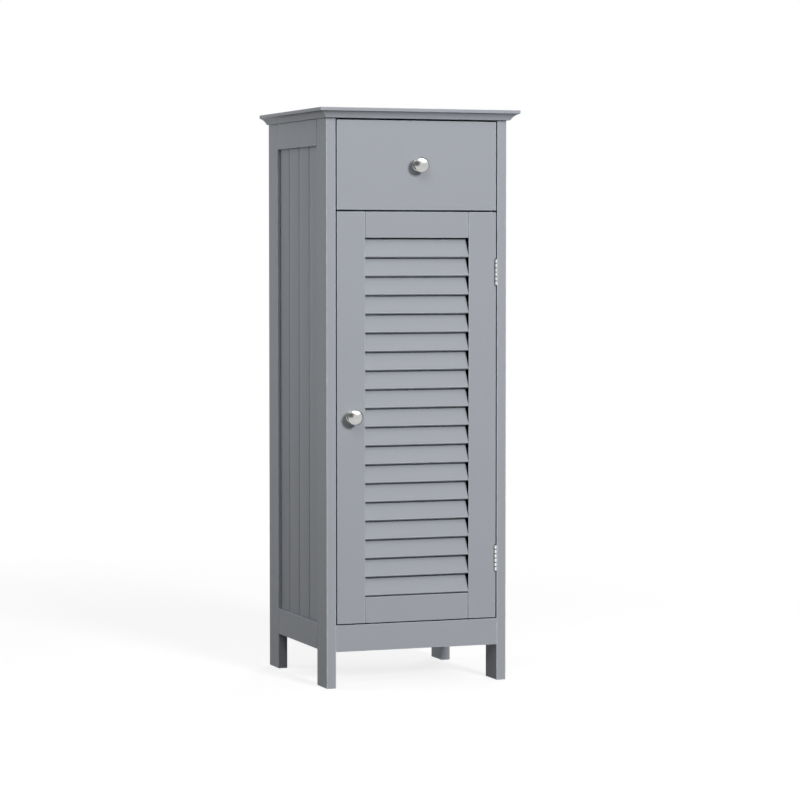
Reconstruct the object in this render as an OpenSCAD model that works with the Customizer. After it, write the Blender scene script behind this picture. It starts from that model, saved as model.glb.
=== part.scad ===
// Narrow free-standing bathroom cabinet: one drawer over one louvred door.
// Z is up, the fronts face -Y, and X runs to the right of someone facing them.
// The origin is on the floor, in the middle of the overall footprint.

/* [Cabinet] */
// Width across the outer faces of the side frames
body_w = 290; // [250:5:400]
// Depth from the front of the legs to their back
body_d = 280; // [260:5:360]
// Height from the floor to the top surface
cabinet_h = 870; // [780:5:1000]
// Clear height under the rails and the apron
foot_h = 55; // [40:1:80]

/* [Top board] */
// Thickness of the top board
top_t = 15; // [14:0.5:25]
// How far the top board passes each side
top_side = 15; // [12:0.5:30]
// How far the top board passes the fronts
top_front = 20; // [15:0.5:30]
// Height of the cove cut under the edge
cove_h = 10; // [6:0.5:12]
// Width of the cove cut under the edge
cove_w = 12; // [8:0.5:14]
// Radius of the cove
cove_r = 18; // [14:0.5:30]

/* [Side frames] */
// Thickness of the legs and side rails
leg_t = 15; // [14:0.5:22]
// Width of a leg seen from the side
leg_w = 45; // [44:0.5:60]
// Height of the side rails
rail_h = 40; // [39:0.5:60]
// Thickness of the side panels
panel_t = 5; // [4:0.5:6]
// How far the panels lie behind the outer faces
panel_recess = 5; // [3:0.5:6]
// How far a panel or a stub tenon reaches into its groove
tongue = 5.5; // [4:0.5:6]
// Distance from the front leg to the panel's first V-groove
bead_first = 50; // [30:1:60]
// Distance between the panel's V-grooves
bead_pitch = 48.3; // [30:0.1:60]
// Width of a V-groove in the panel
bead_v = 3.5; // [1.5:0.25:4]
// Depth of a V-groove in the panel
bead_deep = 2.5; // [0.75:0.25:2.5]

/* [Boards] */
// Thickness of the bottom, the divider, the shelf and the apron
board_t = 15; // [14:0.5:20]
// Height of the apron under the door
apron_h = 40; // [36:0.5:60]
// Thickness of the back panel
back_t = 3; // [2.5:0.5:5]
// How far the back panel lies in front of the rear face
back_inset = 8; // [5:0.5:12]
// Depth of the back panel's grooves in the legs
back_groove = 5.5; // [3:0.5:6]
// Height of the shelf's underside above the bottom board
shelf_up = 305; // [250:1:420]
// Distance from the door's back to the shelf's front edge
shelf_setback = 12; // [2:0.5:12]
// Gap between the shelf and each leg
shelf_gap = 0.8; // [0.5:0.1:2]
// Length of a shelf pin's peg
peg_l = 8; // [6:0.5:12]

/* [Drawer] */
// Height of the drawer front
drawer_front_h = 134; // [124:0.5:200]
// Thickness of the drawer front
drawer_front_t = 15; // [14:0.5:18]
// Height of the drawer box
drawer_box_h = 100; // [90:1:110]
// How far the drawer box stands above the lower edge of its front
drawer_box_up = 9; // [8:0.5:14]
// Gap between the drawer box and the back panel
drawer_back_gap = 19; // [8:1:60]
// Thickness of the drawer sides and back
drawer_side_t = 12; // [12:0.5:15]
// Thickness of the drawer bottom
drawer_bottom_t = 3; // [2.5:0.5:5]
// How far the drawer bottom lies above the box's lower edge
drawer_bottom_up = 10; // [8:0.5:12]
// How far the drawer bottom reaches into its grooves
bottom_tongue = 4.5; // [3:0.5:5]
// Gap between a drawer side and the legs
drawer_clear = 2.5; // [1.5:0.25:4]
// Height of a runner strip
runner_h = 14; // [10:0.5:20]
// Thickness of a runner strip
runner_t = 9; // [7:0.5:9.5]

/* [Door] */
// Thickness of the door frame
door_t = 18; // [17.5:0.5:22]
// Width of the door stiles
stile_w = 44.5; // [38:0.5:60]
// Height of the door rails
door_rail_h = 39; // [34:0.5:60]
// Length of the tenons on the door rails
tenon_l = 12; // [8:0.5:20]
// Thickness of the tenons on the door rails
tenon_t = 6; // [5:0.5:8]
// Number of slats
slat_count = 19; // [12:1:19]
// Width of a slat across its face
slat_w = 30; // [24:0.25:30.5]
// Thickness of a slat
slat_t = 5; // [4:0.25:5.5]
// Lean of the slats from upright, with the upper edge at the back
slat_tilt = 25; // [18:1:26]
// Radius of a slat's long edges
slat_edge_r = 1; // [0.5:0.25:1.75]
// How far the stile's slots take in a slat
slat_seat = 5; // [3:0.5:8]
// Gap between the lowest slat and the bottom rail
slat_low = 1; // [0.3:0.1:3]
// Gap between the highest slat and the top rail
slat_high = 1.4; // [0.5:0.1:6]

/* [Gaps] */
// Gap at the sides of the fronts and below the door
reveal = 2; // [1.5:0.1:3]
// Gap above the drawer front
top_gap = 2.5; // [1.5:0.1:4]
// Gap between the drawer front and the door
fronts_gap = 2.7; // [1.5:0.1:4]
// Width of the fine line at each joint of a rail
joint_w = 1.2; // [0.3:0.1:1.5]
// Depth of that line
joint_deep = 1.5; // [0.5:0.1:2.5]
// Clearance of a loose panel on each face
panel_play = 0.15; // [0.05:0.05:0.3]
// Clearance around dowels, bolts, screws and cams
hole_play = 0.1; // [0.05:0.05:0.3]
// Running clearance above and below a runner strip
runner_play = 0.3; // [0.2:0.05:0.6]

/* [Knobs] */
// How far a knob stands out from its front
knob_reach = 27; // [22:0.5:35]
// Diameter of a knob's head
knob_d = 23.6; // [20:0.2:32]
// Diameter of a knob's foot
knob_foot_d = 18; // [14:0.5:20]
// Diameter of a knob's neck
knob_neck_d = 9; // [8:0.5:11]
// Height of the door's knob above the middle of the door
door_knob_up = 2; // [-60:1:60]

/* [Hinges] */
// Length of a hinge
hinge_h = 40; // [36:1:60]
// Distance from a hinge's centre to the nearer end of the door
hinge_end = 91; // [60:1:150]
// Thickness of a hinge leaf
leaf_t = 0.65; // [0.5:0.05:0.7]
// Width of a hinge leaf from the pin
leaf_w = 14; // [12:0.5:16]
// Number of knuckles
knuckles = 6; // [4:2:8]
// Diameter of the hinge pin
pin_d = 2.2; // [1.8:0.1:2.4]

/* [Fittings] */
// Diameter of the dowels
dowel_d = 6; // [5:0.5:6]
// Length of the dowels
dowel_l = 25; // [22:1:28]
// How deep dowels and bolts go into a leg, the top or a front
bite = 10; // [8:0.5:11]
// Diameter of the cams in the boards
cam_d = 15; // [13:0.5:15]
// Diameter of the cams in the drawer sides
small_cam_d = 12; // [10:0.5:12]
// Distance from a cam's centre to the joint
cam_in = 24; // [20:0.5:26]
// Diameter of a cam bolt
bolt_d = 5; // [4:0.5:5.5]
// Length of the catch
catch_w = 40; // [34:1:50]
// Height of the catch
catch_h = 14; // [12:0.5:16]
// Depth of the catch
catch_d = 16; // [12:0.5:20]
// Thickness of the strike plate
strike_t = 1; // [0.8:0.1:1.5]

/* [Hidden] */
$fn = 48;
paint = "#A3A7AD";
paint_inside = "#8E9298";
beech = "#D2B48C";
white = "#E8E8E4";
nickel = "#C8C8C6";
steel = "#AEB2B5";
over = 1; // how far a cut runs past the face it opens on
turn_gap = 0.3; // clearance of parts that turn past each other
seat_gap = 0.1; // clearance under something that rests on a round pin
end_slack = 0.5; // free length at the end of a hole or a groove

// Main planes and heights
front_reach = max(knob_reach, top_front);
front_y = (front_reach - body_d) / 2;
back_y = front_y + body_d;
half_w = body_w / 2;
inner_w = body_w - 2 * leg_t;
inner_x = -inner_w / 2;
leg_h = cabinet_h - top_t;
rail_len = body_d - 2 * leg_w;
rail_y = front_y + leg_w;
groove_w = panel_t + 2 * panel_play;
groove_x = -half_w + panel_recess + panel_t / 2;
groove_depth = tongue + end_slack;
apron_top = foot_h + apron_h;
side_rail_top = foot_h + rail_h;
top_rail_z = leg_h - rail_h;
back_face = back_y - back_inset - back_t;
board_back = back_face - panel_play;
bottom_z = apron_top - board_t;
drawer_z = leg_h - top_gap - drawer_front_h;
door_top = drawer_z - fronts_gap;
door_z = apron_top + reveal;
door_h = door_top - door_z;
front_w = inner_w - 2 * reveal;
divider_z = door_top + fronts_gap / 2 - board_t / 2;
divider_front = front_y + door_t + 0.5;
mid_t = board_t / 2;

// The cove's cylinder passes through the two ends of the curve, so its axis lies
// outside the edge by cove_out and below the board by cove_down
cove_chord = sqrt(cove_w * cove_w + cove_h * cove_h);
cove_off = sqrt(cove_r * cove_r - cove_chord * cove_chord / 4);
cove_out = cove_h / cove_chord * cove_off - cove_w / 2;
cove_down = cove_w / cove_chord * cove_off - cove_h / 2;

// Places of the joints along the depth
dowel_in = 24.5;
bolt_in = 34;
dowel_ys = [front_y + dowel_in, back_y - dowel_in];
bolt_ys = [front_y + bolt_in, back_y - bolt_in];
board_zs = [bottom_z + mid_t, divider_z + mid_t];
apron_dowel_zs = [foot_h + apron_h * 0.3, foot_h + apron_h * 0.7];
apron_dowel_xs = [-inner_w * 0.3, inner_w * 0.3];
top_bolt_in = 30;
top_bolt_ys = [rail_y + top_bolt_in, rail_y + rail_len - top_bolt_in];
leg_mid_x = -half_w + leg_t / 2;
leg_top_ys = [front_y + leg_w / 2, back_y - leg_w / 2];
dowel_r = dowel_d / 2;
dowel_hole_r = dowel_r + hole_play;
bolt_r = bolt_d / 2;
bolt_hole_r = bolt_r + hole_play;
cam_floor = 2.5; // board left behind a cam

// Back panel, which stands in the back legs' grooves up to the top board
back_low = 5; // how far it reaches below the bottom board
back_z = bottom_z - back_low;

// Shelf on its pins, with rows of holes that let it move
shelf_z = apron_top + shelf_up;
shelf_y = front_y + door_t + shelf_setback;
shelf_back = board_back - 1;
peg_r = 3;
pin_r = 2.5;
pin_bite = 9;
shelf_row_pitch = 32;
shelf_rows = [-1, 0, 1];
shelf_pin_z = shelf_z - peg_r - seat_gap;

// Drawer box
box_x = inner_x + drawer_clear;
box_inner_x = box_x + drawer_side_t;
box_y = front_y + drawer_front_t;
drawer_side_d = back_face - drawer_back_gap - box_y;
box_z = drawer_z + drawer_box_up;
box_back_y = box_y + drawer_side_d - drawer_side_t;
drawer_bottom_z = box_z + drawer_bottom_up;
bottom_groove = bottom_tongue + end_slack;
bottom_slot_z = drawer_bottom_z - panel_play;
bottom_slot_h = drawer_bottom_t + 2 * panel_play;
drawer_cam_in = 22; // from the box's edges to its cams
drawer_cam_zs = [box_z + drawer_cam_in, box_z + drawer_box_h - drawer_cam_in];
drawer_screw_in = 25; // from the box's edges to the screws of its back
drawer_screw_zs = [box_z + drawer_screw_in, box_z + drawer_box_h - drawer_screw_in];
drawer_knob_z = drawer_z + drawer_front_h / 2;

// Runner strips
runner_z = box_z + drawer_box_h / 2 - runner_h / 2;
runner_mid_z = runner_z + runner_h / 2;
runner_front = front_y + 20;
runner_back = board_back - 4;
runner_slot = runner_t - drawer_clear + end_slack;
runner_screw_in = 30;
runner_screw_ys = [front_y + runner_screw_in, back_y - runner_screw_in];

// Door frame and slats
door_x = -front_w / 2;
open_x = door_x + stile_w;
open_w = front_w - 2 * stile_w;
open_z = door_z + door_rail_h;
open_h = door_h - 2 * door_rail_h;
tenon_y = front_y + (door_t - tenon_t) / 2;
tenon_shy = 5; // shoulder above and below a tenon
slat_flat = slat_w - 2 * slat_edge_r; // between the centres of its round edges
slat_flat_t = slat_t - 2 * slat_edge_r;
slat_rise = slat_flat * cos(slat_tilt) + slat_flat_t * sin(slat_tilt) + 2 * slat_edge_r;
slat_pitch = (open_h - slat_low - slat_high - slat_rise) / (slat_count - 1);
slot_play = 0.1;
door_knob_x = door_x + stile_w / 2;
door_knob_z = door_z + door_h / 2 + door_knob_up;

// Hinges: the pin stands in the plane of the door's face, beside the right leg
bore_r = pin_d / 2 + 0.05;
barrel_r = bore_r + leaf_t;
hinge_x = -inner_x - turn_gap - barrel_r;
hinge_zs = [door_z + hinge_end, door_top - hinge_end];
knuckle_h = hinge_h / knuckles;
knuckle_gap = 1.5;
pin_head_r = pin_d / 2 + 0.5;
pin_head_h = 0.6;
frame_leaf_x = -inner_x - leaf_t;
door_leaf_x = front_w / 2;
door_tab_y = bore_r + 0.15;
leaf_in = barrel_r + turn_gap;
leaf_screw_y = front_y + (leaf_in + leaf_w) / 2;
leaf_screw_up = hinge_h * 0.28;
notch_r = 3;
notch_side = barrel_r + 1.2;
notch_deep = barrel_r + 1.3;
notch_end = 1.2; // room above and below a hinge's barrel

// Screws: [length, shank radius, head radius, head height]
frame_hinge_screw = [leg_t - 3, 1.4, 2.5, 1.3];
door_hinge_screw = [16, 1.4, 2.5, 1.3];
runner_screw = [runner_t + leg_t - 4, 1.4, 3, 2.2];
drawer_screw = [35, 1.75, 3.5, 2.2];
catch_flange = 3;
catch_screw = [catch_flange + 9.5, 1.4, 2.3, 1.3];
strike_screw = [12, 1.4, 2.3, 1];
machine_r = 2;
knob_bite = 9; // length of a knob's screw inside the knob

// Catch under the divider, and its plate on the door's top rail
catch_x = -inner_w / 4 + 5;
strike_y = front_y + door_t;
catch_y = strike_y + strike_t + 0.2;
catch_screw_out = catch_w * 0.4;
catch_mid_z = divider_z - catch_h / 2;
magnet_w = catch_w * 0.55;
magnet_h = catch_h * 0.6;
magnet_d = 9;
strike_w = 30;
strike_h = 12;

function two_digits(i) = str(i < 10 ? "0" : "", i);
function slat_name(i) = str("slat_", two_digits(i));
slat_names = [for (i = [1:slat_count]) slat_name(i)];

// Draws a left-hand shape as it is, or mirrored to the right
module on_side(side) {
    if (side > 0) mirror([1, 0, 0]) children();
    else children();
}

// Draws a left-hand shape on both sides
module both_sides() {
    for (side = [-1, 1]) on_side(side) children();
}

// Turn a shape that opens towards +Z so that it opens another way
module face_right() rotate([0, 90, 0]) children();
module face_left() rotate([0, -90, 0]) children();
module face_front() rotate([90, 0, 0]) children();
module face_back() rotate([-90, 0, 0]) children();
module face_down() rotate([180, 0, 0]) children();

// Places on the left leg's inner face
module on_inner_face(y, z) translate([inner_x, y, z]) face_right() children();

// A round hole that opens towards +Z at the origin
module hole(r, depth) translate([0, 0, -depth]) cylinder(r = r, h = depth + over);

// A dowel that goes into its face by the bite and stands out of it by the rest
module dowel() {
    tip = 1;
    translate([0, 0, -bite]) {
        cylinder(r1 = dowel_r - tip, r2 = dowel_r, h = tip);
        translate([0, 0, tip]) cylinder(r = dowel_r, h = dowel_l - 2 * tip);
        translate([0, 0, dowel_l - tip]) cylinder(r1 = dowel_r, r2 = dowel_r - tip, h = tip);
    }
}

// The hole for the short end of a dowel, in a face
module dowel_face_hole() hole(dowel_hole_r, bite + end_slack);

// The hole for the long end of a dowel, in the end of a board
module dowel_end_hole() hole(dowel_hole_r, dowel_l - bite + end_slack);

// Two crossed slots in the face of a screw or a cam
module cross_slots(l, w, deep) {
    for (turn = [0, 90]) rotate([0, 0, turn])
        translate([-l / 2, -w / 2, -deep]) cube([l, w, deep + over]);
}

// A countersunk screw, its head flush with the origin and its point towards -Z
module flat_screw(s) {
    l = s[0];
    r = s[1];
    point = 3;
    difference() {
        face_down() {
            cylinder(r1 = s[2], r2 = r, h = s[3]);
            cylinder(r = r, h = l - point);
            translate([0, 0, l - point]) cylinder(r1 = r, r2 = 0.3, h = point);
        }
        cross_slots(s[2] * 1.2, 0.6, 0.6);
    }
}

// The countersunk hole for that screw
module flat_screw_hole(s) {
    hole(s[1] + hole_play, s[0] + end_slack);
    face_down() cylinder(r1 = s[2] + hole_play, r2 = s[1] + hole_play, h = s[3]);
}

// A pan-headed machine screw, its head on the origin and its end towards -Z
module pan_screw(l) {
    head_h = 2.4;
    head_r = 4;
    difference() {
        union() {
            translate([0, 0, -l]) cylinder(r = machine_r, h = l);
            cylinder(r1 = head_r, r2 = head_r * 0.75, h = head_h);
        }
        translate([0, 0, head_h]) cross_slots(4.4, 0.8, 1.4);
    }
}

// The tunnel in a cam is a little wider than its bolt's head
bolt_head_r = bolt_r + 0.3;
tunnel_r = bolt_head_r + turn_gap;

// A cam, its face at the origin and its body towards +Z, open to its bolt at +X
module cam_lock(d, thick) {
    difference() {
        cylinder(r = d / 2 - hole_play, h = thick - cam_floor - hole_play);
        translate([-tunnel_r - 0.5, 0, thick / 2]) face_right() cylinder(r = tunnel_r, h = d);
        face_down() cross_slots(d * 0.5, 1, 1);
    }
}

// The bolt of that cam, which leaves along +X in the middle of the board
module cam_bolt(d, thick) {
    neck_r = bolt_r - 0.9;
    head_in = 2.5;
    head_l = 4;
    translate([-head_in, 0, thick / 2]) face_right() {
        cylinder(r = bolt_head_r, h = head_l);
        cylinder(r = neck_r, h = head_in + d / 2);
        translate([0, 0, head_in + d / 2]) cylinder(r = bolt_r, h = cam_in - d / 2 + bite);
    }
}

// The cuts for both in the board that holds the cam
module cam_cuts(d, thick) {
    translate([0, 0, -over]) cylinder(r = d / 2, h = thick - cam_floor + over);
    translate([0, 0, thick / 2]) face_right() cylinder(r = tunnel_r, h = cam_in + over);
}

// The hole for a cam bolt's thread
module bolt_hole() hole(bolt_hole_r, bite + end_slack);

// Cam places at the ends of a board, on its underside
module at_board_cams(z) {
    both_sides() for (y = bolt_ys)
        translate([inner_x + cam_in, y, z]) rotate([0, 0, 180]) children();
}

// Cam places on the left top rail's inner face, with the bolts upright
module at_top_cams() {
    for (y = top_bolt_ys) translate([inner_x, y, leg_h - cam_in]) face_left() children();
}

// Cam places on the left drawer side's inner face, with the bolts to the front
module at_drawer_cams() {
    for (z = drawer_cam_zs)
        translate([box_inner_x, box_y + cam_in, z]) face_left() rotate([0, 0, -90]) children();
}

// Places of the screws
module at_hinge_screws(x) {
    for (z = hinge_zs, up = [-leaf_screw_up, leaf_screw_up])
        translate([x, leaf_screw_y, z + up]) children();
}

module at_runner_screws() {
    for (y = runner_screw_ys) on_inner_face(y, runner_mid_z) translate([0, 0, runner_t]) children();
}

module at_catch_screws() {
    for (side = [-1, 1])
        translate([catch_x + side * catch_screw_out, catch_y + catch_d / 2, divider_z - catch_flange])
            face_down() children();
}

module at_strike_screw() {
    translate([catch_x, strike_y + strike_t, catch_mid_z]) face_back() children();
}

module at_drawer_screws() {
    for (z = drawer_screw_zs)
        translate([box_x, box_back_y + drawer_side_t / 2, z]) face_left() children();
}

// A turned mushroom knob that stands on the origin and points towards +Z. Its foot has
// a round rim, and its head lies between two spheres that meet just outside its own rim.
module knob() {
    foot_r = knob_foot_d / 2;
    foot_t = 3;
    foot_round = 1.3;
    neck_r = knob_neck_d / 2;
    flare_r = min(neck_r + 1.6, foot_r - foot_round);
    flare_h = 3;
    meet_r = knob_d / 2 + 0.2;
    dome_h = 6.5;
    under_h = 7;
    rim_z = knob_reach - dome_h;
    dome_r = (meet_r * meet_r + dome_h * dome_h) / (2 * dome_h);
    under_r = (meet_r * meet_r + under_h * under_h) / (2 * under_h);
    difference() {
        union() {
            rotate_extrude() {
                square([foot_r, foot_t - foot_round]);
                square([foot_r - foot_round, foot_t]);
                translate([foot_r - foot_round, foot_t - foot_round]) circle(r = foot_round);
            }
            translate([0, 0, foot_t]) cylinder(r1 = flare_r, r2 = neck_r, h = flare_h);
            cylinder(r = neck_r, h = rim_z);
            intersection() {
                translate([0, 0, knob_reach - dome_r]) sphere(r = dome_r);
                translate([0, 0, rim_z - under_h + under_r]) sphere(r = under_r);
                cylinder(r = knob_d / 2, h = knob_reach + over);
            }
        }
        face_down() hole(machine_r + 0.05, knob_bite + end_slack);
    }
}

// A leg on the left, which takes the boards' dowels and bolts in its inner face
module leg(end) {
    front = end == 0;
    groove_y = front ? rail_y - groove_depth : back_y - leg_w - over;
    difference() {
        translate([-half_w, front ? front_y : back_y - leg_w, 0]) cube([leg_t, leg_w, leg_h]);
        translate([groove_x - groove_w / 2, groove_y, foot_h])
            cube([groove_w, groove_depth + over, leg_h]);
        for (z = board_zs) {
            on_inner_face(dowel_ys[end], z) dowel_face_hole();
            on_inner_face(bolt_ys[end], z) bolt_hole();
        }
        for (row = shelf_rows)
            on_inner_face(bolt_ys[end], shelf_pin_z + row * shelf_row_pitch)
                hole(pin_r + hole_play, pin_bite + end_slack);
        at_runner_screws() flat_screw_hole(runner_screw);
        translate([leg_mid_x, leg_top_ys[end], leg_h]) dowel_end_hole();
        if (front) {
            for (z = apron_dowel_zs) on_inner_face(front_y + mid_t, z) dowel_face_hole();
        } else {
            translate([inner_x - back_groove, back_face - panel_play, back_z])
                cube([back_groove + over, back_t + 2 * panel_play, leg_h]);
        }
    }
}

module left_front_leg() color(paint) leg(0);
module left_back_leg() color(paint) leg(1);
module right_back_leg() color(paint) on_side(1) leg(1);

module right_front_leg() color(paint) difference() {
    on_side(1) leg(0);
    at_hinge_screws(frame_leaf_x) face_left() flat_screw_hole(frame_hinge_screw);
}

// A side rail with a stub tenon and a fine line at each end, and a groove for the panel
module side_rail(z, upper) {
    x = groove_x - groove_w / 2;
    y = rail_y - tongue;
    l = rail_len + 2 * tongue;
    difference() {
        union() {
            translate([-half_w, rail_y, z]) cube([leg_t, rail_len, rail_h]);
            translate([x, y, z]) cube([groove_w, l, rail_h]);
        }
        translate([x, y - over, upper ? z - over : z + rail_h - groove_depth])
            cube([groove_w, l + 2 * over, groove_depth + over]);
        for (end_y = [rail_y - over, rail_y + rail_len - joint_w])
            translate([-half_w - over, end_y, z - over])
                cube([joint_deep + over, joint_w + over, rail_h + 2 * over]);
        if (upper) at_top_cams() cam_cuts(cam_d, leg_t);
    }
}

module left_top_rail() color(paint) side_rail(top_rail_z, true);
module right_top_rail() color(paint) on_side(1) side_rail(top_rail_z, true);
module left_bottom_rail() color(paint) side_rail(foot_h, false);
module right_bottom_rail() color(paint) on_side(1) side_rail(foot_h, false);

// A thin panel with V-grooves in its outer face
module side_panel() {
    x = groove_x - panel_t / 2;
    z = side_rail_top - tongue;
    h = top_rail_z - side_rail_top + 2 * tongue;
    last = floor((rail_len - bead_first - bead_v) / bead_pitch);
    open = bead_v / 2 * (bead_deep + over) / bead_deep;
    difference() {
        translate([x, rail_y - tongue, z]) cube([panel_t, rail_len + 2 * tongue, h]);
        for (i = [0:last])
            translate([x, rail_y + bead_first + i * bead_pitch, z - over])
                linear_extrude(height = h + 2 * over)
                    polygon([[-over, -open], [bead_deep, 0], [-over, open]]);
    }
}

module left_side_panel() color(paint) side_panel();
module right_side_panel() color(paint) on_side(1) side_panel();

// The top, with a cove under its front and side edges that meets in mitres
module top_board() {
    w = body_w + 2 * top_side;
    d = body_d + top_front;
    long = 2 * max(w, d);
    color(paint) difference() {
        translate([-w / 2, front_y - top_front, leg_h]) cube([w, d, top_t]);
        translate([0, front_y - top_front - cove_out, leg_h - cove_down]) face_right()
            cylinder(r = cove_r, h = long, center = true);
        both_sides() {
            translate([-w / 2 - cove_out, 0, leg_h - cove_down]) face_front()
                cylinder(r = cove_r, h = long, center = true);
            for (y = leg_top_ys) translate([leg_mid_x, y, leg_h]) face_down() dowel_face_hole();
            for (y = top_bolt_ys) translate([leg_mid_x, y, leg_h]) face_down() bolt_hole();
        }
    }
}

// The plank between the front legs, under the door
module front_apron() color(paint) difference() {
    translate([inner_x, front_y, foot_h]) cube([inner_w, board_t, apron_h]);
    both_sides() for (z = apron_dowel_zs)
        translate([inner_x, front_y + mid_t, z]) face_left() dowel_end_hole();
    for (x = apron_dowel_xs)
        translate([x, front_y + board_t, bottom_z + mid_t]) face_back() dowel_face_hole();
}

// The dowel holes and cam cuts at the ends of a board whose underside is at z
module board_end_cuts(z) {
    at_board_cams(z) cam_cuts(cam_d, board_t);
    both_sides() for (y = dowel_ys)
        translate([inner_x, y, z + mid_t]) face_left() dowel_end_hole();
}

module bottom_board() color(paint) difference() {
    y = front_y + board_t;
    translate([inner_x, y, bottom_z]) cube([inner_w, board_back - y, board_t]);
    board_end_cuts(bottom_z);
    for (x = apron_dowel_xs) translate([x, y, bottom_z + mid_t]) face_front() dowel_end_hole();
}

module divider_board() color(paint) difference() {
    translate([inner_x, divider_front, divider_z])
        cube([inner_w, board_back - divider_front, board_t]);
    board_end_cuts(divider_z);
    at_catch_screws() flat_screw_hole(catch_screw);
}

module back_panel() color(paint_inside) {
    w = inner_w + 2 * (back_groove - end_slack);
    translate([-w / 2, back_face, back_z]) cube([w, back_t, leg_h - back_z]);
}

module shelf() color(paint)
    translate([inner_x + shelf_gap, shelf_y, shelf_z])
        cube([inner_w - 2 * shelf_gap, shelf_back - shelf_y, board_t]);

module shelf_pins() color(steel)
    both_sides() for (y = bolt_ys) on_inner_face(y, shelf_pin_z) {
        translate([0, 0, -pin_bite]) cylinder(r = pin_r, h = pin_bite + 1);
        cylinder(r = peg_r, h = peg_l);
    }

module drawer_runners() color(white)
    both_sides() difference() {
        translate([inner_x, runner_front, runner_z])
            cube([runner_t, runner_back - runner_front, runner_h]);
        at_runner_screws() flat_screw_hole(runner_screw);
    }

module frame_dowels() color(beech) {
    both_sides() {
        for (z = board_zs, y = dowel_ys) on_inner_face(y, z) dowel();
        for (z = apron_dowel_zs) on_inner_face(front_y + mid_t, z) dowel();
        for (y = leg_top_ys) translate([leg_mid_x, y, leg_h]) face_down() dowel();
    }
    for (x = apron_dowel_xs)
        translate([x, front_y + board_t, bottom_z + mid_t]) face_back() dowel();
}

module cam_locks() color(steel) {
    for (z = [bottom_z, divider_z]) at_board_cams(z) cam_lock(cam_d, board_t);
    both_sides() at_top_cams() cam_lock(cam_d, leg_t);
}

module cam_bolts() color(steel) {
    for (z = [bottom_z, divider_z]) at_board_cams(z) cam_bolt(cam_d, board_t);
    both_sides() at_top_cams() cam_bolt(cam_d, leg_t);
}

module carcass_screws() color(steel) {
    both_sides() at_runner_screws() flat_screw(runner_screw);
    at_hinge_screws(frame_leaf_x) face_left() flat_screw(frame_hinge_screw);
    at_catch_screws() flat_screw(catch_screw);
}

// One leaf of each hinge with every other knuckle, counted from the bottom
module hinge_leaves(x, tab_y, first) {
    low = -hinge_h / 2;
    high = knuckle_h - knuckle_gap;
    for (hinge_z = hinge_zs) translate([0, front_y, hinge_z]) difference() {
        union() {
            translate([x, leaf_in, low]) cube([leaf_t, leaf_w - leaf_in, hinge_h]);
            for (i = [first:2:knuckles - 1]) {
                z = low + i * knuckle_h + knuckle_gap / 2;
                translate([x, tab_y, z]) cube([leaf_t, leaf_in - tab_y + over, high]);
                translate([hinge_x, 0, z]) cylinder(r = barrel_r, h = high);
            }
        }
        translate([hinge_x, 0, low - over]) cylinder(r = bore_r, h = hinge_h + 2 * over);
    }
}

module hinge_frame_leaves() color(nickel) difference() {
    hinge_leaves(frame_leaf_x, 0, 0);
    at_hinge_screws(frame_leaf_x) face_left() flat_screw_hole(frame_hinge_screw);
}

module hinge_door_leaves() color(nickel) difference() {
    hinge_leaves(door_leaf_x, door_tab_y, 1);
    at_hinge_screws(door_leaf_x + leaf_t) face_right() flat_screw_hole(door_hinge_screw);
}

module hinge_pins() color(steel)
    for (z = hinge_zs) translate([hinge_x, front_y, z - hinge_h / 2]) {
        translate([0, 0, -pin_head_h]) cylinder(r = pin_head_r, h = pin_head_h);
        cylinder(r = pin_d / 2, h = hinge_h);
        translate([0, 0, hinge_h]) cylinder(r = pin_head_r, h = pin_head_h);
    }

// The catch's flange is screwed up into the divider, and its box holds the magnet
module catch_housing() color(white) {
    wall = 1.5;
    box_w = magnet_w + 2 * wall;
    difference() {
        union() {
            translate([catch_x - catch_w / 2, catch_y + 2, divider_z - catch_flange])
                cube([catch_w, catch_d - 2, catch_flange]);
            translate([catch_x - box_w / 2, catch_y + 0.5, divider_z - catch_h])
                cube([box_w, catch_d - 0.5, catch_h]);
        }
        translate([catch_x - magnet_w / 2, catch_y - over, catch_mid_z - magnet_h / 2])
            cube([magnet_w, magnet_d + over, magnet_h]);
        at_catch_screws() flat_screw_hole(catch_screw);
    }
}

module catch_magnet() color(steel)
    translate([catch_x - magnet_w / 2, catch_y, catch_mid_z - magnet_h / 2])
        cube([magnet_w, magnet_d, magnet_h]);

module strike_plate() color(nickel) difference() {
    translate([catch_x - strike_w / 2, strike_y, catch_mid_z - strike_h / 2])
        cube([strike_w, strike_t, strike_h]);
    at_strike_screw() flat_screw_hole(strike_screw);
}

// The drawer front takes the sides' bolts and the bottom in its back
module drawer_front() color(paint) difference() {
    translate([-front_w / 2, front_y, drawer_z]) cube([front_w, drawer_front_t, drawer_front_h]);
    translate([box_inner_x - bottom_groove, box_y - bottom_groove, bottom_slot_z])
        cube([2 * (bottom_groove - box_inner_x), bottom_groove + over, bottom_slot_h]);
    both_sides() for (z = drawer_cam_zs)
        translate([box_x + drawer_side_t / 2, box_y, z]) face_back() bolt_hole();
    translate([0, box_y, drawer_knob_z]) face_back() hole(machine_r + 0.2, drawer_front_t + over);
}

// A drawer side, with the runner's slot outside and the bottom's groove inside
module drawer_side() {
    difference() {
        translate([box_x, box_y, box_z]) cube([drawer_side_t, drawer_side_d, drawer_box_h]);
        translate([box_x - over, box_y - over, runner_z - runner_play])
            cube([runner_slot + over, drawer_side_d + 2 * over, runner_h + 2 * runner_play]);
        translate([box_inner_x - bottom_groove, box_y - over, bottom_slot_z])
            cube([bottom_groove + over, box_back_y - box_y + over + bottom_groove, bottom_slot_h]);
        at_drawer_cams() cam_cuts(small_cam_d, drawer_side_t);
        at_drawer_screws() flat_screw_hole(drawer_screw);
    }
}

module drawer_left_side() color(paint_inside) drawer_side();
module drawer_right_side() color(paint_inside) on_side(1) drawer_side();

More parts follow.
